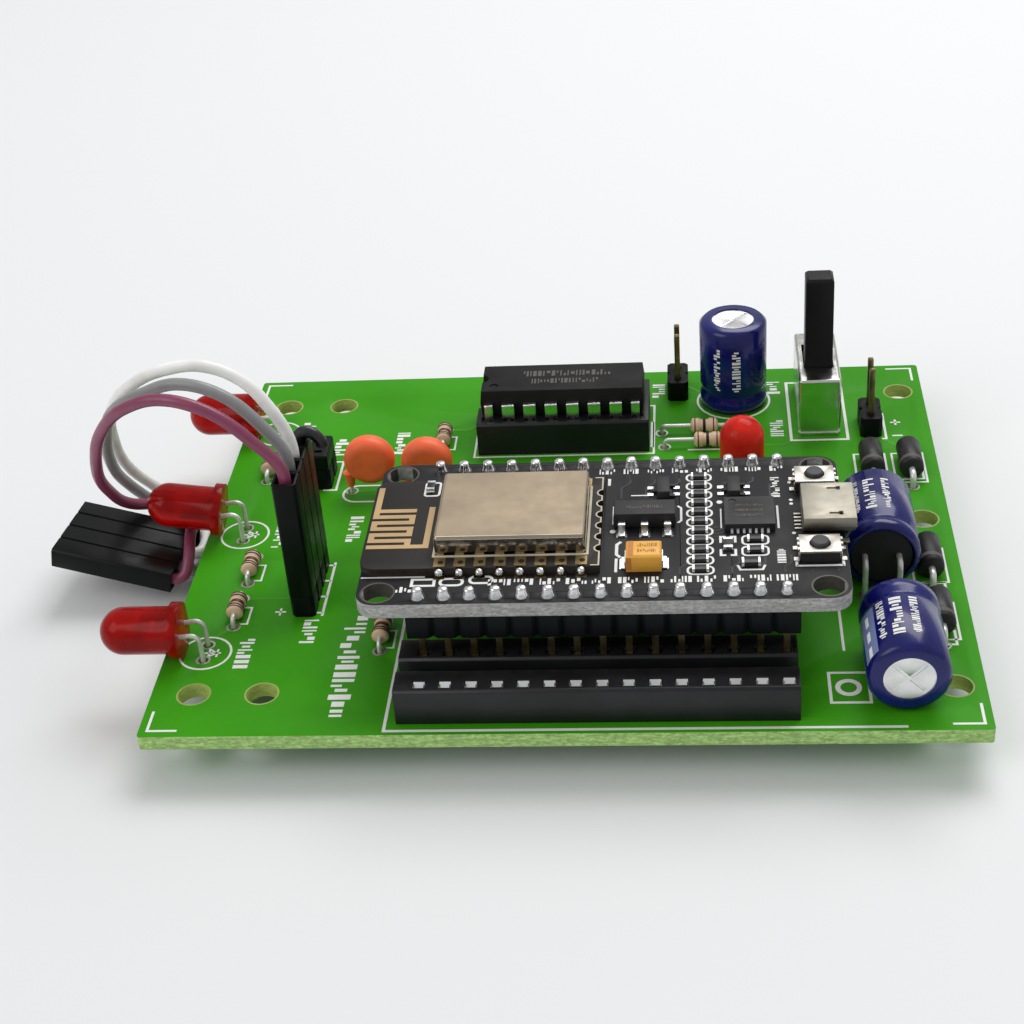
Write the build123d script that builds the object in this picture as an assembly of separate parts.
from build123d import *
import os
from math import cos, radians, sin

# A black Wi-Fi microcontroller board plugged into the green carrier board of a small robot.
# Millimetres, +Z up out of the component side, +X to the right, +Y to the back.
# Origin: centre of the four corner holes, on the carrier board's underside.

# ---- carrier board
BOARD_SIZE = (82.8, 70.1)
BOARD_CENTRE = (-0.75, 0.0)
TOP = 1.6                          # board thickness, so the height of the component side
HOLE_R = 1.6
CORNER_SPACING = (75.5, 57.0)
SECOND_COLUMN_X = -30.75           # second pair of holes near the left edge
MID_HOLE = (37.75, 0.6)
LEAD_HOLE_R = 0.52
LEAD_END_Z = -1.6                  # cut leads stand this far below the underside
SOLDER_H = 1.1

# ---- pins and headers
PITCH = 2.54
PIN = 0.64
HEADER_H = 2.54
HEADER_PIN_TOP = 10.2
PIN_GAP = 0.03                     # clearance round a pin in its plastic

# ---- microcontroller board and its sockets
WAYS = 15
ROW_SPACING = 9 * PITCH
MCU_CENTRE = (3.75, -15.82)
MCU_SIZE = (47.9, 25.4)
MCU_BOTTOM = 10.8
MCU_TOP = MCU_BOTTOM + 1.6
MCU_CORNER_R = 2.0
MCU_HOLE_R = 1.55
MCU_HOLES = (21.8, 10.7)           # half spacing
MCU_PIN_END = 2.3
STRIP_H = 4.0
STRIP_SIDES = (2.5, 1.05)          # plastic beyond the first and last contact, left and right
STRIP_EDGES = (1.15, 2.35)         # plastic beyond the contact line, near and far side
FRONT_ROW_Y = MCU_CENTRE[1] - ROW_SPACING / 2
REAR_ROW_Y = MCU_CENTRE[1] + ROW_SPACING / 2
OUTER_ROW_Y = FRONT_ROW_Y - 2 * PITCH
WAY_XS = [MCU_CENTRE[0] + (i - (WAYS - 1) / 2) * PITCH for i in range(WAYS)]

# ---- contacts shared by the strips and the chip socket
POCKET = (1.3, 1.15)
CONTACT = (1.2, 1.05)
CONTACT_WALL = 0.15
CONTACT_H = 3.5
SOCKET_FLOOR = 0.3
TAIL = (0.5, 0.3)

# ---- driver chip
CHIP_CENTRE = (-2.5, 21.1)
CHIP_WAYS = 8
CHIP_ROW = 3 * PITCH / 2           # half spacing of its two rows
CHIP_BODY = (19.3, 6.4, 3.2)
CHIP_BODY_Z = 5.95
CHIP_SOCKET = (20.3, 10.1, 4.2)

# ---- electrolytic capacitors: 8 mm across
CAP_R = 4.0
CAP_L = 11.2
CAP_LEAD_R = 0.3
CAP_OPENING_R = 2.5                # the bare round of can at the vent end
CAP_LEAD_PITCH = 3.5
CAP_STANDING = (17.8, 27.4)
CAP_FRONT = (32.75, -21.3)         # x, and y of the bung end; the vent end faces front
CAP_MIDDLE = (32.0, -12.4)         # x, and y of the bung end; the bung faces front
CAP_LYING_Z = TOP + CAP_R + 0.1

# ---- LEDs: 5 mm across
LED_R = 2.5
LED_FLANGE_R = 2.95
LED_H = 8.6
LED_LEAD_R = 0.25
LED_BASE_X = -39.95
LED_HOLE_X = -37.95
SIDE_LEDS = ((-21.65, 4.6, 0), (0.15, 5.0, 8), (22.15, 4.6, 0))   # y, height, upward tilt
POWER_LED = (18.3, 8.6)
POWER_LED_Z = 1.7

# ---- small leaded parts: x, y of the body centre
LEAD_R = 0.25
RESISTORS_Y = ((-35.85, -14.8), (-35.8, -6.95), (-37.4, 13.75), (-17.05, 19.45), (-19.65, -19.25))
RESISTORS_X = ((14.15, 20.05), (14.5, 16.85))
RESISTOR_SPAN_Y = 2 * PITCH        # between the two leads, for the resistors along Y
RESISTOR_SPAN_X = 4 * PITCH
RESISTOR_R = 0.9
RESISTOR_L = 3.2
DIODES = ((37.35, 11.15), (37.35, -8.25), (37.35, -18.05), (33.05, 11.15))
DIODE_R = 1.35
DIODE_L = 5.2
DIODE_SPAN = 8.0
DIODE_LEAD_R = 0.35
DISCS = ((-24.35, 8.75), (-17.6, 8.05))
DISC_R = 2.95
DISC_T = 2.8
DISC_Z = 5.95

# ---- pin headers that run front to back: x, y of the centre, number of ways
BACK_HEADER = (11.05, 30.15)
RIGHT_HEADER = (33.65, 20.45)
CAPPED_HEADER = (-30.65, 11.75)
SENSOR_HEADER = (-28.55, -10.65)
HEADERS = ((BACK_HEADER, 2), (RIGHT_HEADER, 2), (CAPPED_HEADER, 2), (SENSOR_HEADER, 4))
CAP_PIN_TOP = 5.5                  # the capped header's pins end inside its jumper cap
JUMPER_CAP = (2.4, 4.9, 1.9)

# ---- jumper lead
PLUG = (10.16, 2.54, 14.0)
PLUG_CAVITY = 1.9
CRIMP_END = 10.4
WIRE_R = 0.65
WIRE_BEND = 1.2                    # the quarter turn into the free plug
PLUG_Z = TOP + HEADER_H + 0.05
FREE_PLUG_END = (-45.0, -1.2, -0.7)   # centre of the free plug's wire end
FREE_PLUG_TURN = 7.5
FREE_PLUG_DROP = 11.0

# ---- slide switch
SWITCH_CENTRE = (27.65, 24.5)
SWITCH_CAN = (4.9, 11.9, 7.5)
SWITCH_WALL = 0.3
SWITCH_TRAVEL = 2.5
LEVER = (3.2, 2.9)
LEVER_TOP = 20.4
SLIDER = (4.1, 6.0)
TERMINAL_PITCH = 3.5

# ---- parts on the microcontroller board, placed from its centre and its top face
WIFI_X = (-24.0, -0.2)
WIFI_HALF_W = 8.0
WIFI_T = 0.9
WIFI_PAD_XS = [-16.0 + 2.0 * i for i in range(8)]
WIFI_END_YS = [-5.0 + 2.0 * i for i in range(6)]
SHIELD_X = (-16.6, -1.6)
SHIELD_Y = (-5.95, 6.05)
SHIELD_TOP = 3.2
SHEET = 0.2
ANTENNA_T = 0.05
ANTENNA_W = 0.62
USB = (5.2, 6.5, 2.5)
USB_CENTRE = (22.35, 0.3)
USB_WALL = 0.3
BUTTON = (4.0, 3.0, 1.1)
RESET_AT = (21.2, -5.4)
FLASH_AT = (21.4, 7.15)
PLUNGER_R = 0.9
PLUNGER_TOP = 1.75
RESISTOR_COLUMN = (9.6, -7.83, 8.87, 11)   # x, first y, last y, count


def corner_box(x, y, z):
    """A box from its lowest to its highest x, y and z."""
    size = (x[1] - x[0], y[1] - y[0], z[1] - z[0])
    return Pos(x[0], y[0], z[0]) * Box(*size, align=(Align.MIN, Align.MIN, Align.MIN))


def post(x, y, z0, z1, width, depth):
    """An upright box centred on x, y."""
    return Pos(x, y, z0) * Box(width, depth, z1 - z0, align=(Align.CENTER, Align.CENTER, Align.MIN))


def rod(x, y, z0, z1, radius):
    """An upright cylinder."""
    return Pos(x, y, z0) * Cylinder(radius, z1 - z0, align=(Align.CENTER, Align.CENTER, Align.MIN))


def bent_lead(points, radius, bend):
    """A round lead along straight runs, with rounded bends."""
    path = FilletPolyline(*points, radius=bend) if len(points) > 2 else Line(*points)
    return sweep(Plane(origin=path @ 0, z_dir=path % 0) * Circle(radius), path=path)


def save(name, *shapes):
    """Writes every solid of the shapes to one file, named after the node."""
    solids = [solid for shape in shapes for solid in shape.solids()]
    export_step(solids[0] if len(solids) == 1 else Compound(solids), f"parts/{name}.step")


# ---- places of the leads

def header_pins(centre, ways):
    return [(centre[0], centre[1] + (i - (ways - 1) / 2) * PITCH) for i in range(ways)]


def chip_pins():
    xs = [CHIP_CENTRE[0] + (i - (CHIP_WAYS - 1) / 2) * PITCH for i in range(CHIP_WAYS)]
    return [(x, CHIP_CENTRE[1] + side * CHIP_ROW) for side in (-1, 1) for x in xs]


def strip_pins():
    return [(x, y) for y in (OUTER_ROW_Y, FRONT_ROW_Y, REAR_ROW_Y) for x in WAY_XS]


def side_led_pins():
    return [(LED_HOLE_X, y + side * PITCH / 2) for y, _, _ in SIDE_LEDS for side in (-1, 1)]


def power_led_pins():
    return [(POWER_LED[0] + side * PITCH / 2, POWER_LED[1]) for side in (-1, 1)]


def cap_pins():
    half = CAP_LEAD_PITCH / 2
    standing = [(CAP_STANDING[0] + side * half, CAP_STANDING[1]) for side in (-1, 1)]
    front = [(CAP_FRONT[0] + side * half, CAP_FRONT[1] + 2.3) for side in (-1, 1)]
    middle = [(CAP_MIDDLE[0] + side * half, CAP_MIDDLE[1] - 1.2) for side in (-1, 1)]
    return standing + front + middle


def axial_pins():
    along_y = [(x, y + side * RESISTOR_SPAN_Y / 2) for x, y in RESISTORS_Y for side in (-1, 1)]
    along_x = [(x + side * RESISTOR_SPAN_X / 2, y) for x, y in RESISTORS_X for side in (-1, 1)]
    diodes = [(x, y + side * DIODE_SPAN / 2) for x, y in DIODES for side in (-1, 1)]
    return along_y + along_x + diodes


def disc_pins():
    return [(x + side * PITCH, y) for x, y in DISCS for side in (-1, 1)]


def switch_pins():
    return [(SWITCH_CENTRE[0], SWITCH_CENTRE[1] + i * TERMINAL_PITCH) for i in (-1, 0, 1)]


ROUND_LEADS = side_led_pins() + power_led_pins() + cap_pins() + axial_pins() + disc_pins()
SQUARE_LEADS = [pin for centre, ways in HEADERS for pin in header_pins(centre, ways)] + switch_pins()
FLAT_TAILS = strip_pins() + chip_pins()


# ---- carrier board

def base_board():
    half_x, half_y = BOARD_SIZE[0] / 2, BOARD_SIZE[1] / 2
    board = corner_box(
        (BOARD_CENTRE[0] - half_x, BOARD_CENTRE[0] + half_x),
        (BOARD_CENTRE[1] - half_y, BOARD_CENTRE[1] + half_y), (0, TOP))
    board = fillet(board.edges().filter_by(Axis.Z), 0.4)
    holes = [(sx * CORNER_SPACING[0] / 2, sy * CORNER_SPACING[1] / 2) for sx in (-1, 1) for sy in (-1, 1)]
    holes += [(SECOND_COLUMN_X, sy * CORNER_SPACING[1] / 2) for sy in (-1, 1)] + [MID_HOLE]
    drills = [rod(x, y, -1, TOP + 1, HOLE_R) for x, y in holes]
    drills += [rod(x, y, -1, TOP + 1, LEAD_HOLE_R) for x, y in ROUND_LEADS + SQUARE_LEADS + FLAT_TAILS]
    return board.cut(*drills)


def solder_joints():
    """A cone of solder round each lead under the board, with the lead's own hole through it."""
    cone = Pos(0, 0, -SOLDER_H / 2) * Cone(0.45, 0.95, SOLDER_H)
    round_joint = cone - rod(0, 0, -2, 1, DIODE_LEAD_R + PIN_GAP)
    square_joint = cone - post(0, 0, -2, 1, PIN + 2 * PIN_GAP, PIN + 2 * PIN_GAP)
    flat_joint = cone - post(0, 0, -2, 1, TAIL[0] + 2 * PIN_GAP, TAIL[1] + 2 * PIN_GAP)
    joints = [Pos(x, y, 0) * round_joint for x, y in ROUND_LEADS]
    joints += [Pos(x, y, 0) * square_joint for x, y in SQUARE_LEADS]
    return joints + [Pos(x, y, 0) * flat_joint for x, y in FLAT_TAILS]


# ---- sockets

def contact():
    """A spring contact: a boxy sleeve with a floor and a flat tail, on the socket's own floor."""
    floor = TOP + SOCKET_FLOOR
    sleeve = post(0, 0, floor, floor + CONTACT_H, *CONTACT)
    bore = [side - 2 * CONTACT_WALL for side in CONTACT]
    sleeve -= post(0, 0, floor + CONTACT_WALL, floor + CONTACT_H + 1, *bore)
    return sleeve + post(0, 0, LEAD_END_Z, floor + 0.05, *TAIL)


def socket_pockets(pins, height):
    """The pockets and the tail slots under them."""
    pocket = post(0, 0, TOP + SOCKET_FLOOR, TOP + height + 1, *POCKET)
    slot = post(0, 0, TOP - 1, TOP + SOCKET_FLOOR + 0.1, TAIL[0] + 0.1, TAIL[1] + 0.1)
    return [Pos(x, y, 0) * shape for x, y in pins for shape in (pocket, slot)]


def socket_strip(row_y, near_side):
    """One strip. near_side is -1 where the narrow edge of plastic is at the front, 1 where it is behind."""
    edges = sorted((row_y + near_side * STRIP_EDGES[0], row_y - near_side * STRIP_EDGES[1]))
    body = corner_box((WAY_XS[0] - STRIP_SIDES[0], WAY_XS[-1] + STRIP_SIDES[1]), edges, (TOP, TOP + STRIP_H))
    body = chamfer(body.edges().filter_by(Axis.X).group_by(Axis.Z)[-1], 0.25)
    return body.cut(*socket_pockets([(x, row_y) for x in WAY_XS], STRIP_H))


def driver_socket():
    x, y = CHIP_CENTRE
    body = post(x, y, TOP, TOP + CHIP_SOCKET[2], CHIP_SOCKET[0], CHIP_SOCKET[1])
    body = chamfer(body.edges().filter_by(Axis.X).group_by(Axis.Z)[-1], 0.25)
    window = post(x, y, TOP - 1, TOP + 9, CHIP_SOCKET[0] - 5, 3.4)
    notch = rod(x - CHIP_SOCKET[0] / 2, y, TOP + 2.5, TOP + 9, 1.1)
    return body.cut(window, notch, *socket_pockets(chip_pins(), CHIP_SOCKET[2]))


def driver_chip():
    x, y = CHIP_CENTRE
    half = CHIP_BODY[2] / 2
    outline = Rectangle(CHIP_BODY[0], CHIP_BODY[1])
    body = extrude(outline, half, taper=6) + extrude(outline, -half, taper=6)
    body = Pos(x, y, CHIP_BODY_Z + half) * body
    notch = rod(x - CHIP_BODY[0] / 2, y, CHIP_BODY_Z + CHIP_BODY[2] - 0.7, CHIP_BODY_Z + 9, 0.9)
    mark = rod(x - CHIP_BODY[0] / 2 + 1.6, y - 1.8, CHIP_BODY_Z + CHIP_BODY[2] - 0.15, CHIP_BODY_Z + 9, 0.55)
    return body - notch - mark


def chip_lead(end_side):
    """A lead from the body's side out, down to the socket, and into it. End leads lose half a shoulder."""
    left = 0.25 if end_side < 0 else 0.72
    right = 0.25 if end_side > 0 else 0.72
    thick = 0.25
    mid_z = CHIP_BODY_Z + CHIP_BODY[2] / 2
    shoulder_z = TOP + CHIP_SOCKET[2] + 0.06
    inner = CHIP_BODY[1] / 2 - CHIP_ROW
    arm = corner_box((-left, right), (inner + 0.01, thick / 2), (mid_z - thick / 2, mid_z + thick / 2))
    drop = corner_box((-left, right), (-thick / 2, thick / 2), (shoulder_z, mid_z + thick / 2))
    blade = corner_box((-0.25, 0.25), (-thick / 2, thick / 2), (TOP + 1.3, shoulder_z + 0.05))
    lead = arm + drop + blade
    outer_edge = lead.edges().filter_by(Axis.X).group_by(Axis.Z)[-1].sort_by(Axis.Y)[-1]
    return fillet(outer_edge, 0.2)


def driver_chip_leads():
    leads = []
    for i in range(CHIP_WAYS):
        end_side = -1 if i == 0 else 1 if i == CHIP_WAYS - 1 else 0
        x = CHIP_CENTRE[0] + (i - (CHIP_WAYS - 1) / 2) * PITCH
        leads.append(Pos(x, CHIP_CENTRE[1] + CHIP_ROW, 0) * chip_lead(end_side))
        leads.append(Pos(x, CHIP_CENTRE[1] - CHIP_ROW, 0) * Rot(0, 0, 180) * chip_lead(-end_side))
    return leads


# ---- capacitors, built upright with the bung end at z = 0

def barrel(radius, z0, z1, edge):
    """A round can with a rolled edge at each end and a crimp groove near the bung."""
    groove = radius - 0.3
    outline = Polyline(
        (0, z0), (radius - edge, z0), (radius, z0 + edge), (radius, 1.5), (groove, 2.0),
        (groove, 2.5), (radius, 3.0), (radius, z1 - edge), (radius - edge, z1), (0, z1), close=True)
    return revolve(Plane.XZ * make_face(outline), Axis.Z)


def capacitor_sleeve():
    sleeve = barrel(CAP_R, 0, CAP_L, 0.45) - barrel(CAP_R - 0.13, 0.12, CAP_L - 0.12, 0.4)
    return sleeve - rod(0, 0, CAP_L - 0.5, CAP_L + 1, CAP_OPENING_R) - rod(0, 0, -1, 0.5, 3.3)


def capacitor_can():
    outer = barrel(CAP_R - 0.15, 0.14, CAP_L - 0.14, 0.4)
    can = outer - barrel(CAP_R - 0.4, -1, CAP_L - 0.5, 0.3) - rod(0, 0, -1, 0.6, 3.2)
    vent = [Rot(0, 0, turn) * post(0, 0, CAP_L - 0.24, CAP_L + 1, 2 * CAP_OPENING_R - 0.6, 0.3) for turn in (45, 135)]
    return can.cut(*vent)


def capacitor_bung():
    return rod(0, 0, 0.3, 1.5, 3.15)


def capacitor_winding():
    return rod(0, 0, 2.4, CAP_L - 1.2, 3.0)


def capacitor_places():
    """Where the upright capacitor goes: one stands, two lie along Y."""
    standing = Pos(CAP_STANDING[0], CAP_STANDING[1], TOP + 0.1)
    front = Pos(CAP_FRONT[0], CAP_FRONT[1], CAP_LYING_Z) * Rot(90, 0, 0)
    middle = Pos(CAP_MIDDLE[0], CAP_MIDDLE[1], CAP_LYING_Z) * Rot(-90, 0, 0)
    return standing, front, middle


def capacitor_leads():
    standing, front, middle = [cap_pins()[i:i + 2] for i in (0, 2, 4)]
    leads = [rod(x, y, LEAD_END_Z, TOP + 0.39, CAP_LEAD_R) for x, y in standing]
    for x, y in front:
        points = ((x, CAP_FRONT[1] - 0.29, CAP_LYING_Z), (x, y, CAP_LYING_Z), (x, y, LEAD_END_Z))
        leads.append(bent_lead(points, CAP_LEAD_R, 0.8))
    for x, y in middle:
        points = ((x, CAP_MIDDLE[1] + 0.29, CAP_LYING_Z), (x, y, CAP_LYING_Z), (x, y, LEAD_END_Z))
        leads.append(bent_lead(points, CAP_LEAD_R, 0.8))
    return leads


# ---- LEDs, built upright with the flange at z = 0

def led_frame(gap):
    """The cup post and the thin post inside the lens, grown by gap to cut their space."""
    cup = corner_box((-1.27 - 0.35 - gap, 0.75 + gap), (-0.3 - gap, 0.3 + gap), (2.6 - gap, 4.6 + gap))
    stem = corner_box((-1.27 - 0.3 - gap, -1.27 + 0.3 + gap), (-0.25 - gap, 0.25 + gap), (0, 2.7))
    thin = corner_box((1.27 - 0.25 - gap, 1.27 + 0.25 + gap), (-0.25 - gap, 0.25 + gap), (0, 4.4 + gap))
    return (cup + stem), thin


def led_lens():
    lens = rod(0, 0, 0, 1.0, LED_FLANGE_R) + rod(0, 0, 0.9, LED_H - LED_R, LED_R)
    lens += Pos(0, 0, LED_H - LED_R) * Sphere(LED_R)
    flat = corner_box((LED_R + 0.08, 5), (-5, 5), (-1, 0.95))
    return lens.cut(flat, *led_frame(0.03))


def side_led_place(y, z, tilt):
    """The base of a side LED, which looks out over the left edge, its two leads side by side in Y."""
    return Pos(LED_BASE_X, y, z) * Rot(0, -90 + tilt, 0) * Rot(0, 0, 90)


def led_leads():
    leads = []
    for y, z, tilt in SIDE_LEDS:
        leads += [side_led_place(y, z, tilt) * Pos(0, 0, 0.02) * part for part in led_frame(0)]
        for side in (-1, 1):
            hole_y = y + side * PITCH / 2
            start = (LED_BASE_X + 0.01, hole_y, z)
            knee = (LED_HOLE_X, hole_y, z + 0.3)
            leads.append(bent_lead((start, knee, (LED_HOLE_X, hole_y, LEAD_END_Z)), LED_LEAD_R, 0.9))
    for x, y in power_led_pins():
        leads.append(rod(x, y, LEAD_END_Z, POWER_LED_Z - 0.01, LED_LEAD_R))
    leads += [Pos(*POWER_LED, POWER_LED_Z + 0.02) * part for part in led_frame(0)]
    return leads


# ---- resistors, diodes and discs

def resistor_body():
    """A dog-bone body lying along X: two round end caps and a slimmer middle."""
    half = RESISTOR_L / 2
    outline = Polyline(
        (-half, 0), (-half, 0.55), (-half + 0.25, RESISTOR_R), (-half + 0.95, RESISTOR_R),
        (-half + 1.2, RESISTOR_R - 0.15), (half - 1.2, RESISTOR_R - 0.15), (half - 0.95, RESISTOR_R),
        (half - 0.25, RESISTOR_R), (half, 0.55), (half, 0), close=True)
    return revolve(make_face(outline), Axis.X)


def resistor_places():
    height = TOP + RESISTOR_R + 0.1
    along_y = [Pos(x, y, height) * Rot(0, 0, 90) for x, y in RESISTORS_Y]
    return along_y + [Pos(x, y, height) for x, y in RESISTORS_X]


def diode_body():
    body = Rot(0, 90, 0) * Cylinder(DIODE_R, DIODE_L)
    return chamfer(body.edges().filter_by(GeomType.CIRCLE), 0.2)


def diode_places():
    return [Pos(x, y, TOP + DIODE_R + 0.1) * Rot(0, 0, 90) for x, y in DIODES]


def axial_lead(half_body, half_span, height, radius):
    """One lead of a body that lies along X, from its right end down through the board."""
    return bent_lead(((half_body + 0.01, 0, 0), (half_span, 0, 0), (half_span, 0, LEAD_END_Z - height)),
                     radius, radius * 2)


def axial_leads():
    leads = []
    height = TOP + RESISTOR_R + 0.1
    short = axial_lead(RESISTOR_L / 2, RESISTOR_SPAN_Y / 2, height, LEAD_R)
    long = axial_lead(RESISTOR_L / 2, RESISTOR_SPAN_X / 2, height, LEAD_R)
    for place, lead in zip(resistor_places(), [short] * len(RESISTORS_Y) + [long] * len(RESISTORS_X)):
        leads += [place * lead, place * Rot(0, 0, 180) * lead]
    diode = axial_lead(DIODE_L / 2, DIODE_SPAN / 2, TOP + DIODE_R + 0.1, DIODE_LEAD_R)
    for place in diode_places():
        leads += [place * diode, place * Rot(0, 0, 180) * diode]
    return leads


def ceramic_disc():
    """A dipped disc that faces front, with a short skirt of coating down each lead."""
    disc = Rot(90, 0, 0) * Cylinder(DISC_R, DISC_T)
    disc = fillet(disc.edges().filter_by(GeomType.CIRCLE), 1.2)
    skirt = Cone(0.42, 0.75, 1.8)
    drop = -DISC_R + 0.35
    return disc + Pos(-PITCH, 0, drop) * skirt + Pos(PITCH, 0, drop) * skirt


def disc_leads():
    skirt_end = DISC_Z - DISC_R + 0.35 - 0.9
    return [rod(x, y, LEAD_END_Z, skirt_end - 0.01, LEAD_R) for x, y in disc_pins()]


# ---- headers

def header_housing(ways):
    """Header plastic that runs along Y, notched between its ways, with a square hole for each pin."""
    block = post(0, 0, 0, HEADER_H, PITCH, PITCH)
    block = chamfer(block.edges().filter_by(Axis.Z), 0.4)
    hole = post(0, 0, -1, HEADER_H + 1, PIN + 2 * PIN_GAP, PIN + 2 * PIN_GAP)
    blocks = [Pos(0, y, 0) * (block - hole) for _, y in header_pins((0, 0), ways)]
    return blocks[0].fuse(*blocks[1:])


def pin_post(z0, z1):
    """A square pin with a pointed top and bottom."""
    pin = post(0, 0, z0, z1, PIN, PIN)
    return chamfer(pin.edges().group_by(Axis.Z)[0] + pin.edges().group_by(Axis.Z)[-1], 0.18)


def header_pin_posts():
    pins = []
    for centre, ways in HEADERS:
        top = CAP_PIN_TOP if centre == CAPPED_HEADER else HEADER_PIN_TOP
        pins += [Pos(x, y, 0) * pin_post(LEAD_END_Z, top) for x, y in header_pins(centre, ways)]
    return pins


def jumper_cap():
    x, y = CAPPED_HEADER
    base = TOP + HEADER_H + 0.05
    cap = post(x, y, base, base + JUMPER_CAP[2], JUMPER_CAP[0], JUMPER_CAP[1])
    cap = fillet(cap.edges().filter_by(Axis.Z) + cap.edges().group_by(Axis.Z)[-1], 0.3)
    space = [post(px, py, base - 1, CAP_PIN_TOP + 0.1, 1.1, 1.1) for px, py in header_pins(CAPPED_HEADER, 2)]
    peep = [post(px, py, base, base + 9, 0.9, 0.5) for px, py in header_pins(CAPPED_HEADER, 2)]
    return cap.cut(*space, *peep)


# ---- jumper lead: a plug is built with its mating face at z = 0 and its four ways along X

def plug_ways():
    return [(i - 1.5) * PITCH for i in range(4)]


def plug_housing():
    body = Box(*PLUG, align=(Align.CENTER, Align.CENTER, Align.MIN))
    body = chamfer(body.edges().filter_by(Axis.Z), 0.25)
    cuts = []
    for x in plug_ways():
        cuts.append(post(x, 0, 1.0, 20, PLUG_CAVITY, PLUG_CAVITY))
        cuts.append(post(x, 0, -1, 1.1, 1.0, 1.0))
        cuts.append(corner_box((x - 0.55, x + 0.55), (0, 5), (6.6, 8.8)))
    for i in range(3):
        x = (i - 1) * PITCH
        cuts += [post(x, side * PLUG[1] / 2, -1, 20, 0.3, 0.3) for side in (-1, 1)]
    return body.cut(*cuts)


def plug_contact():
    """A crimp contact: a square sleeve for the pin, then a round crimp barrel."""
    sleeve = post(0, 0, 1.05, 8.0, 1.7, 1.7) - post(0, 0, 0, 7.8, 1.1, 1.1)
    return sleeve + rod(0, 0, 7.9, CRIMP_END, 0.75)


def sensor_plug_plane():
    return Plane(origin=(*SENSOR_HEADER, PLUG_Z), x_dir=(0, 1, 0), z_dir=(0, 0, 1))


def free_plug_plane():
    turn, drop = radians(FREE_PLUG_TURN), radians(FREE_PLUG_DROP)
    ahead = Vector(cos(turn) * cos(drop), -sin(turn) * cos(drop), -sin(drop))
    origin = Vector(*FREE_PLUG_END) - ahead * PLUG[2]
    return Plane(origin=origin, x_dir=(-sin(turn), -cos(turn), 0), z_dir=ahead)


def plug_contacts():
    contacts = []
    for plane in (sensor_plug_plane(), free_plug_plane()):
        contacts += [plane.location * Pos(x, 0, 0) * plug_contact() for x in plug_ways()]
    return contacts


def smooth_run(points, first_way, last_way):
    """A curve through points: short Bezier pieces that share a direction where they meet."""
    points = [Vector(*point) for point in points]
    ways = [first_way]
    for before, here, after in zip(points, points[1:], points[2:]):
        arrive, leave = here - before, after - here
        ways.append((arrive.normalized() * leave.length + leave.normalized() * arrive.length).normalized())
    ways.append(last_way)
    pieces = []
    for here, after, leave, arrive in zip(points, points[1:], ways, ways[1:]):
        reach = (after - here).length * 0.36
        pieces.append(Edge.make_bezier(here, here + leave * reach, after - arrive * reach, after))
    return pieces


def wire(way, rise, middle):
    """A wire from one plug to the other. It is straight inside each plug, runs through the middle points,
    and comes into the free plug by a quarter turn from behind, which slopes by rise degrees. The free plug
    lies on its back, so its ways run from front to back the other way round."""
    x = plug_ways()[way]
    near, far = sensor_plug_plane(), free_plug_plane()
    crimp, mouth = [near.from_local_coords((x, 0, z)) for z in (CRIMP_END + 0.05, PLUG[2])]
    far_crimp, far_mouth = [far.from_local_coords((-x, 0, z)) for z in (CRIMP_END + 0.05, PLUG[2])]
    slope = radians(rise)
    back = far.x_dir * -cos(slope) - far.y_dir * sin(slope)
    centre = far_mouth + back * WIRE_BEND
    turn_start = centre + far.z_dir * WIRE_BEND
    half_way = centre + (far.z_dir - back).normalized() * WIRE_BEND
    run = smooth_run((mouth, *middle, turn_start), near.z_dir, -back)
    turn = ThreePointArc(turn_start, half_way, far_mouth).edge()
    path = Wire([Edge.make_line(crimp, mouth), *run, turn, Edge.make_line(far_mouth, far_crimp)])
    return sweep(Plane(origin=crimp, z_dir=near.z_dir) * Circle(WIRE_R), path=path)


def violet_wire():
    return wire(0, 50, (
        (-31.6, -14.4, 23.0), (-36.0, -14.2, 26.5), (-40.2, -13.4, 27.2), (-44.5, -12.0, 25.5),
        (-48.4, -9.6, 21.3), (-50.8, -6.6, 15.6), (-52.0, -1.5, 9.0), (-51.3, 2.8, 4.4), (-49.0, 5.6, 2.3),
        (-46.4, 5.0, 2.0), (-44.7, 2.4, 2.1), (-44.1, -0.8, 2.0)))


def grey_wire():
    return wire(1, -50, (
        (-31.2, -11.9, 23.6), (-34.8, -11.8, 26.9), (-38.9, -11.0, 27.6), (-43.2, -9.9, 25.9),
        (-47.4, -7.6, 22.6), (-49.9, -4.4, 17.4), (-51.4, -0.2, 11.3), (-51.8, 4.6, 5.9), (-50.6, 7.9, 1.4),
        (-47.6, 8.2, -1.7), (-44.9, 5.2, -2.9), (-43.8, 1.6, -3.0)))


def white_wire():
    return wire(2, 0, (
        (-30.3, -9.3, 23.6), (-33.1, -9.2, 27.1), (-36.6, -9.0, 28.5), (-41.0, -8.4, 27.8),
        (-45.4, -6.6, 25.0), (-49.0, -3.6, 20.4), (-50.8, 0.2, 14.6), (-51.6, 4.8, 8.4), (-50.8, 9.0, 3.2),
        (-47.8, 9.9, -0.2), (-44.9, 7.6, -1.1), (-43.8, 4.4, -1.0)))


def black_wire():
    """The fourth wire, which curls over to the right of the sensor plug and is cut short there."""
    near = sensor_plug_plane()
    crimp, mouth = [near.from_local_coords((plug_ways()[3], 0, z)) for z in (CRIMP_END + 0.05, PLUG[2])]
    steps = ((0.4, 0.0, 0.75), (1.3, 0.0, 0.95), (2.2, -0.1, 0.4), (2.6, -0.1, -0.6))
    run = smooth_run((mouth, *[mouth + Vector(*step) for step in steps]), near.z_dir, Vector(0, 0, -1))
    path = Wire([Edge.make_line(crimp, mouth), *run])
    return sweep(Plane(origin=crimp, z_dir=near.z_dir) * Circle(WIRE_R), path=path)


# ---- slide switch

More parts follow.
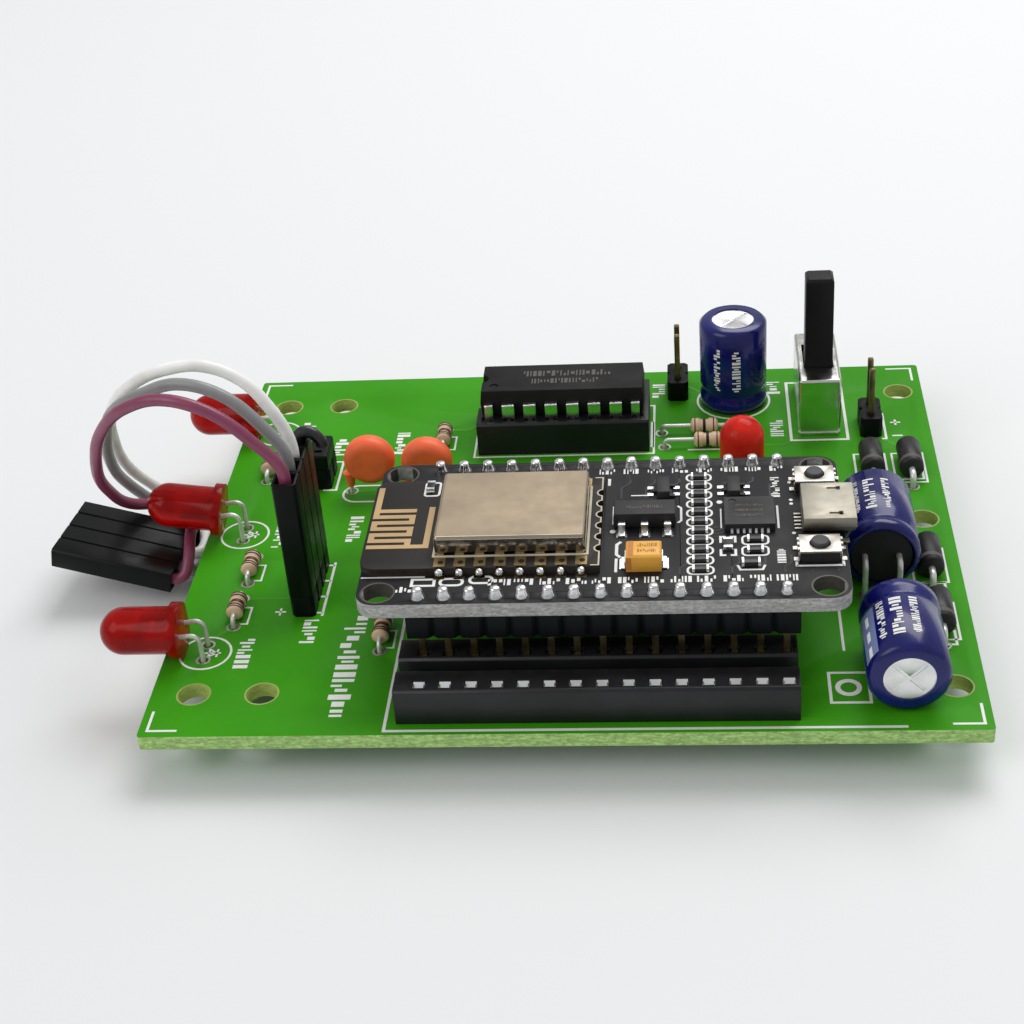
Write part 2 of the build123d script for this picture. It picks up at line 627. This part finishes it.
def switch_can():
    x, y = SWITCH_CENTRE
    width, depth, height = SWITCH_CAN
    can = post(x, y, TOP, TOP + height, width, depth)
    can = fillet(can.edges().filter_by(Axis.Z) + can.edges().group_by(Axis.Z)[-1], 0.35)
    inside = post(x, y, TOP - 1, TOP + height - SWITCH_WALL, width - 2 * SWITCH_WALL, depth - 2 * SWITCH_WALL)
    slot = post(x, y, TOP + height - 1, TOP + height + 1, LEVER[0] + 0.3, LEVER[1] + SWITCH_TRAVEL + 0.4)
    return can - inside - slot


def switch_base():
    x, y = SWITCH_CENTRE
    base = post(x, y, TOP + 0.1, TOP + 1.4, SWITCH_CAN[0] - 0.7, SWITCH_CAN[1] - 0.7)
    slots = [post(px, py, TOP - 1, TOP + 3, PIN + 0.1, PIN + 0.1) for px, py in switch_pins()]
    return base.cut(*slots)


def switch_terminals():
    return [post(x, y, LEAD_END_Z, TOP + 3.0, PIN, PIN) for x, y in switch_pins()]


def switch_slider():
    """The lever and the block it grows from, at the front end of its travel."""
    x, y = SWITCH_CENTRE[0], SWITCH_CENTRE[1] - SWITCH_TRAVEL / 2
    block_top = TOP + SWITCH_CAN[2] - SWITCH_WALL - 0.05
    block = post(x, y, block_top - 2.4, block_top, *SLIDER)
    lever = post(x, y, block_top - 0.5, LEVER_TOP, *LEVER)
    lever = chamfer(lever.edges().group_by(Axis.Z)[-1], 0.3)
    return block + lever


def switch_bridge():
    """The springy contact under the slider, which joins the middle terminal to one end terminal."""
    x, y = SWITCH_CENTRE[0], SWITCH_CENTRE[1] - SWITCH_TRAVEL / 2
    plate_z = TOP + SWITCH_CAN[2] - SWITCH_WALL - 0.05 - 2.4
    plate = post(x, y, plate_z - 0.25, plate_z - 0.01, 2.0, 5.4)
    feet = [post(x, y + side * 1.9, TOP + 3.1, plate_z - 0.2, 1.4, 0.8) for side in (-1, 1)]
    return plate.fuse(*feet)


# ---- microcontroller board

def on_mcu(x, y, z=0.0):
    """A place measured from the centre of the microcontroller board's top face."""
    return Pos(MCU_CENTRE[0] + x, MCU_CENTRE[1] + y, MCU_TOP + z)


def mcu_pin_points():
    return [(x, y) for y in (FRONT_ROW_Y, REAR_ROW_Y) for x in WAY_XS]


def mcu_board():
    board = post(*MCU_CENTRE, MCU_BOTTOM, MCU_TOP, *MCU_SIZE)
    board = fillet(board.edges().filter_by(Axis.Z), MCU_CORNER_R)
    drills = [rod(x, y, 0, 20, LEAD_HOLE_R) for x, y in mcu_pin_points()]
    for sx in (-1, 1):
        for sy in (-1, 1):
            drills.append(rod(MCU_CENTRE[0] + sx * MCU_HOLES[0], MCU_CENTRE[1] + sy * MCU_HOLES[1], 0, 20, MCU_HOLE_R))
    return board.cut(*drills)


def mcu_header_strips():
    strips = []
    for y in (FRONT_ROW_Y, REAR_ROW_Y):
        strip = post(MCU_CENTRE[0], y, MCU_BOTTOM - HEADER_H, MCU_BOTTOM, WAYS * PITCH, PITCH)
        holes = [post(x, y, 0, 20, PIN + 2 * PIN_GAP, PIN + 2 * PIN_GAP) for x in WAY_XS]
        notches = []
        for x in WAY_XS[1:]:
            for side in (-1, 1):
                corner = Pos(x - PITCH / 2, y + side * PITCH / 2, MCU_BOTTOM - HEADER_H / 2)
                notches.append(corner * Rot(0, 0, 45) * Box(0.6, 0.6, HEADER_H + 1))
        strips.append(strip.cut(*holes, *notches))
    return strips


def mcu_header_pins():
    pin = pin_post(MCU_PIN_END, MCU_TOP + 0.95)
    return [Pos(x, y, 0) * pin for x, y in mcu_pin_points()]


def mcu_solder():
    """The shiny cone of solder round each pin on the top face."""
    cone = Pos(0, 0, MCU_TOP + 0.45) * Cone(0.8, 0.42, 0.9)
    cone -= post(0, 0, MCU_TOP - 1, MCU_TOP + 3, PIN + 2 * PIN_GAP, PIN + 2 * PIN_GAP)
    return [Pos(x, y, 0) * cone for x, y in mcu_pin_points()]


def wifi_board():
    board = corner_box(WIFI_X, (-WIFI_HALF_W, WIFI_HALF_W), (0, WIFI_T))
    left_edges = board.edges().filter_by(Axis.Z).group_by(Axis.X)[0]
    board = fillet(left_edges, 1.5)
    notches = [rod(x, side * WIFI_HALF_W, -1, 2, 0.35) for x in WIFI_PAD_XS for side in (-1, 1)]
    notches += [rod(WIFI_X[1], y, -1, 2, 0.5) for y in WIFI_END_YS]
    return on_mcu(0, 0, 0.02) * board.cut(*notches)


def wifi_antenna():
    """The printed aerial: a meander between two feed lines, as one flat strip of copper."""
    left, right = -23.4, -19.6
    rows = 7
    first, last = -4.2, 2.3
    step = (last - first) / (rows - 1)
    half = ANTENNA_W / 2
    strips = []
    for i in range(rows):
        y = first + i * step
        strips.append(corner_box((left - half, right + half), (y - half, y + half), (0, ANTENNA_T)))
    for i in range(rows - 1):
        x = right if i % 2 == 0 else left
        y = first + i * step
        strips.append(corner_box((x - half, x + half), (y - half, y + step + half), (0, ANTENNA_T)))
    strips.append(corner_box((left - half, left + half), (last - half, 6.7), (0, ANTENNA_T)))
    strips.append(corner_box((left - half, -17.4), (first - half, first + half), (0, ANTENNA_T)))
    strips.append(corner_box((-17.7 - half, -17.7 + half), (first - half, 2.9), (0, ANTENNA_T)))
    return on_mcu(0, 0, 0.02 + WIFI_T + 0.005) * strips[0].fuse(*strips[1:])


def wifi_shield():
    """A pressed can, open below, with notches along its lower rim."""
    base = 0.02 + WIFI_T + 0.01
    shell = corner_box(SHIELD_X, SHIELD_Y, (base, SHIELD_TOP))
    shell = fillet(shell.edges().filter_by(Axis.Z) + shell.edges().group_by(Axis.Z)[-1], 0.4)
    inner_x = (SHIELD_X[0] + SHEET, SHIELD_X[1] - SHEET)
    inner_y = (SHIELD_Y[0] + SHEET, SHIELD_Y[1] - SHEET)
    shell -= corner_box(inner_x, inner_y, (0, SHIELD_TOP - SHEET))
    middle_x, middle_y = sum(SHIELD_X) / 2, sum(SHIELD_Y) / 2
    across = [post(middle_x + 2 * i, middle_y, 0, base + 0.45, 1.1, 30) for i in range(-3, 4)]
    along = [post(middle_x, middle_y + 2 * i, 0, base + 0.45, 30, 1.1) for i in range(-2, 3)]
    return on_mcu(0, 0) * shell.cut(*across, *along)


def wifi_chip(x, y, width, depth, height):
    return on_mcu(x, y) * post(0, 0, WIFI_T + 0.03, WIFI_T + 0.03 + height, width, depth)


def regulator_body():
    half = 0.8
    outline = Rectangle(6.3, 2.8)
    body = extrude(outline, half, taper=8) + extrude(outline, -half, taper=8)
    return on_mcu(4.1, 1.02, half + 0.1) * body


def regulator_legs():
    """Three gull-wing legs to the front and the broad tab behind."""
    legs = []
    for x in (-2.3, 0, 2.3):
        leg = corner_box((x - 0.35, x + 0.35), (-2.95, -1.95), (0.01, 0.25))
        leg += corner_box((x - 0.35, x + 0.35), (-2.15, -1.95), (0.01, 1.0))
        leg += corner_box((x - 0.35, x + 0.35), (-2.15, -1.41), (0.8, 1.0))
        legs.append(leg)
    tab = corner_box((-1.5, 1.5), (1.95, 2.95), (0.01, 0.25)) + corner_box((-1.5, 1.5), (1.95, 2.15), (0.01, 1.0))
    tab += corner_box((-1.5, 1.5), (1.41, 2.15), (0.8, 1.0))
    return [on_mcu(4.1, 1.02) * part for part in legs + [tab]]


def tantalum_capacitor():
    body = post(0, 0, 0.01, 1.9, 3.5, 2.8)
    body = chamfer(body.edges().group_by(Axis.Z)[-1], 0.2)
    return on_mcu(4.1, -6.53) * body


def usb_serial_chip():
    body = post(0, 0, 0.05, 0.9, 5.0, 5.0)
    mark = rod(-1.7, 1.7, 0.82, 2, 0.4)
    return on_mcu(14.6, 1.25) * (body - mark)


def chip_part(x, y, width, depth, height, base=0.0):
    body = post(0, 0, 0.01, height, width, depth)
    return on_mcu(x, y, base) * fillet(body.edges().filter_by(Axis.Z), 0.1)


def chip_components():
    """Small square-ended chip resistors and capacitors, and the chip LED on the Wi-Fi board."""
    x, first, last, count = RESISTOR_COLUMN
    step = (last - first) / (count - 1)
    parts = [chip_part(x, first + i * step, 1.6, 0.8, 0.45) for i in range(count)]
    parts += [chip_part(12.35, -3.75, 0.9, 1.7, 0.5), chip_part(15.05, -2.8, 1.6, 0.8, 0.45)]
    parts += [chip_part(15.0, -4.7, 1.6, 0.8, 0.45), chip_part(14.5, -7.0, 1.8, 0.9, 0.6)]
    return parts + [chip_part(-18.2, 6.3, 0.8, 1.6, 0.6, WIFI_T + 0.02)]


def small_transistors():
    parts = []
    for x, y in ((5.95, 6.3), (13.15, 6.2)):
        body = post(0, 0, 0.12, 1.0, 2.9, 1.3)
        for leg_x, side in ((-0.95, -1), (0.95, -1), (0, 1)):
            reach = sorted((side * 0.6, side * 1.2))
            body += corner_box((leg_x - 0.2, leg_x + 0.2), reach, (0.01, 0.3))
        parts.append(on_mcu(x, y) * Rot(0, 0, 90) * body)
    return parts


def usb_outline(grow):
    """The socket's mouth outline, in y and z: wide above, with sloped lower corners."""
    half = USB[1] / 2 + grow
    low, high = -grow, USB[2] + grow
    return Polyline((-half + 1.5, low), (half - 1.5, low), (half, low + 1.4), (half, high), (-half, high),
                    (-half, low + 1.4), close=True)


def usb_shell():
    """A folded metal tube, closed behind and open to the right, with two spring slots on top."""
    tube = extrude(Plane.YZ * make_face(usb_outline(0)), USB[0])
    bore = Pos(0.4, 0, 0) * extrude(Plane.YZ * make_face(usb_outline(-USB_WALL)), USB[0])
    tube -= bore
    slots = [post(3.1, side * 2.25, USB[2] - 1, USB[2] + 1, 1.0, 0.25) for side in (-1, 1)]
    slots += [post(3.7, side * 2.25, USB[2] - 1, USB[2] + 1, 0.35, 0.6) for side in (-1, 1)]
    return on_mcu(USB_CENTRE[0] - USB[0] / 2, USB_CENTRE[1], 0.02) * tube.cut(*slots)


def usb_tongue():
    block = corner_box((0.42, 1.3), (-1.7, 1.7), (0.75, 1.9))
    tongue = corner_box((1.3, 4.5), (-1.6, 1.6), (1.25, 1.8))
    return on_mcu(USB_CENTRE[0] - USB[0] / 2, USB_CENTRE[1], 0.02) * (block + tongue)


def button_housing(at):
    """The black body of a small push button, hollowed for its plunger."""
    body = post(0, 0, 0.02, BUTTON[2], BUTTON[0] - 0.3, BUTTON[1] - 0.2)
    body -= rod(0, 0, BUTTON[2] - 0.85, 9, 1.3)
    return on_mcu(*at) * body


def button_frame(at):
    """The metal cover: a plate with a round hole, folded down on its left and right."""
    width, depth, height = BUTTON
    plate = post(0, 0, height + 0.01, height + 0.25, width, depth) - rod(0, 0, 0, 9, PLUNGER_R + 0.12)
    for side in (-1, 1):
        edge = sorted((side * (width / 2 - 0.12), side * width / 2))
        plate += corner_box(edge, (-depth / 2 + 0.4, depth / 2 - 0.4), (0.03, height + 0.2))
    return on_mcu(*at) * plate


def button_plunger(at):
    """The button itself, with a collar that its cover holds in."""
    foot = BUTTON[2] - 0.55
    stem = rod(0, 0, foot, PLUNGER_TOP, PLUNGER_R) + rod(0, 0, foot, foot + 0.4, 1.15)
    return on_mcu(*at) * fillet(stem.edges().group_by(Axis.Z)[-1], 0.2)


def save_carrier():
    save("base_board", base_board())
    save("solder_joints", *solder_joints())
    save("outer_socket_strip", socket_strip(OUTER_ROW_Y, -1))
    save("inner_socket_strip", socket_strip(FRONT_ROW_Y, -1))
    save("rear_socket_strip", socket_strip(REAR_ROW_Y, 1))
    save("socket_contacts", *[Pos(x, y, 0) * contact() for x, y in strip_pins()])
    save("driver_socket", driver_socket())
    save("driver_socket_contacts", *[Pos(x, y, 0) * contact() for x, y in chip_pins()])
    save("driver_chip", driver_chip())
    save("driver_chip_leads", *driver_chip_leads())
    save("capacitor_sleeves", *[place * capacitor_sleeve() for place in capacitor_places()])
    save("capacitor_cans", *[place * capacitor_can() for place in capacitor_places()])
    save("capacitor_bungs", *[place * capacitor_bung() for place in capacitor_places()])
    save("capacitor_windings", *[place * capacitor_winding() for place in capacitor_places()])
    save("component_leads", *capacitor_leads(), *axial_leads(), *disc_leads())
    save("side_led_lenses", *[side_led_place(*led) * led_lens() for led in SIDE_LEDS])
    save("power_led_lens", Pos(*POWER_LED, POWER_LED_Z) * led_lens())
    save("led_leads", *led_leads())
    save("resistor_bodies", *[place * resistor_body() for place in resistor_places()])
    save("diode_bodies", *[place * diode_body() for place in diode_places()])
    save("ceramic_discs", *[Pos(x, y, DISC_Z) * ceramic_disc() for x, y in DISCS])


def save_headers_and_lead():
    save("header_housings", *[Pos(*centre, TOP + 0.01) * header_housing(ways) for centre, ways in HEADERS])
    save("header_pins", *header_pin_posts())
    save("jumper_cap", jumper_cap())
    save("sensor_plug", sensor_plug_plane().location * plug_housing())
    save("free_plug", free_plug_plane().location * plug_housing())
    save("plug_contacts", *plug_contacts())
    save("violet_wire", violet_wire())
    save("grey_wire", grey_wire())
    save("white_wire", white_wire())
    save("black_wire", black_wire())


def save_switch():
    save("switch_can", switch_can())
    save("switch_base", switch_base())
    save("switch_terminals", *switch_terminals())
    save("switch_slider", switch_slider())
    save("switch_bridge", switch_bridge())


def save_mcu():
    save("mcu_board", mcu_board())
    save("mcu_header_strips", *mcu_header_strips())
    save("mcu_header_pins", *mcu_header_pins())
    save("mcu_solder", *mcu_solder())
    save("wifi_board", wifi_board())
    save("wifi_antenna", wifi_antenna())
    save("wifi_shield", wifi_shield())
    save("wifi_processor", wifi_chip(-12.5, 0.5, 5.0, 5.0, 0.9))
    save("wifi_flash_chip", wifi_chip(-5.8, -1.0, 5.0, 6.0, 1.6))
    save("wifi_crystal", wifi_chip(-12.5, -4.2, 3.2, 2.2, 0.7))
    save("regulator", regulator_body())
    save("regulator_legs", *regulator_legs())
    save("tantalum_capacitor", tantalum_capacitor())
    save("usb_serial_chip", usb_serial_chip())
    save("chip_components", *chip_components())
    save("small_transistors", *small_transistors())
    save("usb_shell", usb_shell())
    save("usb_tongue", usb_tongue())
    save("button_housings", *[button_housing(at) for at in (RESET_AT, FLASH_AT)])
    save("button_frames", *[button_frame(at) for at in (RESET_AT, FLASH_AT)])
    save("reset_plunger", button_plunger(RESET_AT))
    save("flash_plunger", button_plunger(FLASH_AT))


os.makedirs("parts", exist_ok=True)
save_carrier()
save_headers_and_lead()
save_switch()
save_mcu()
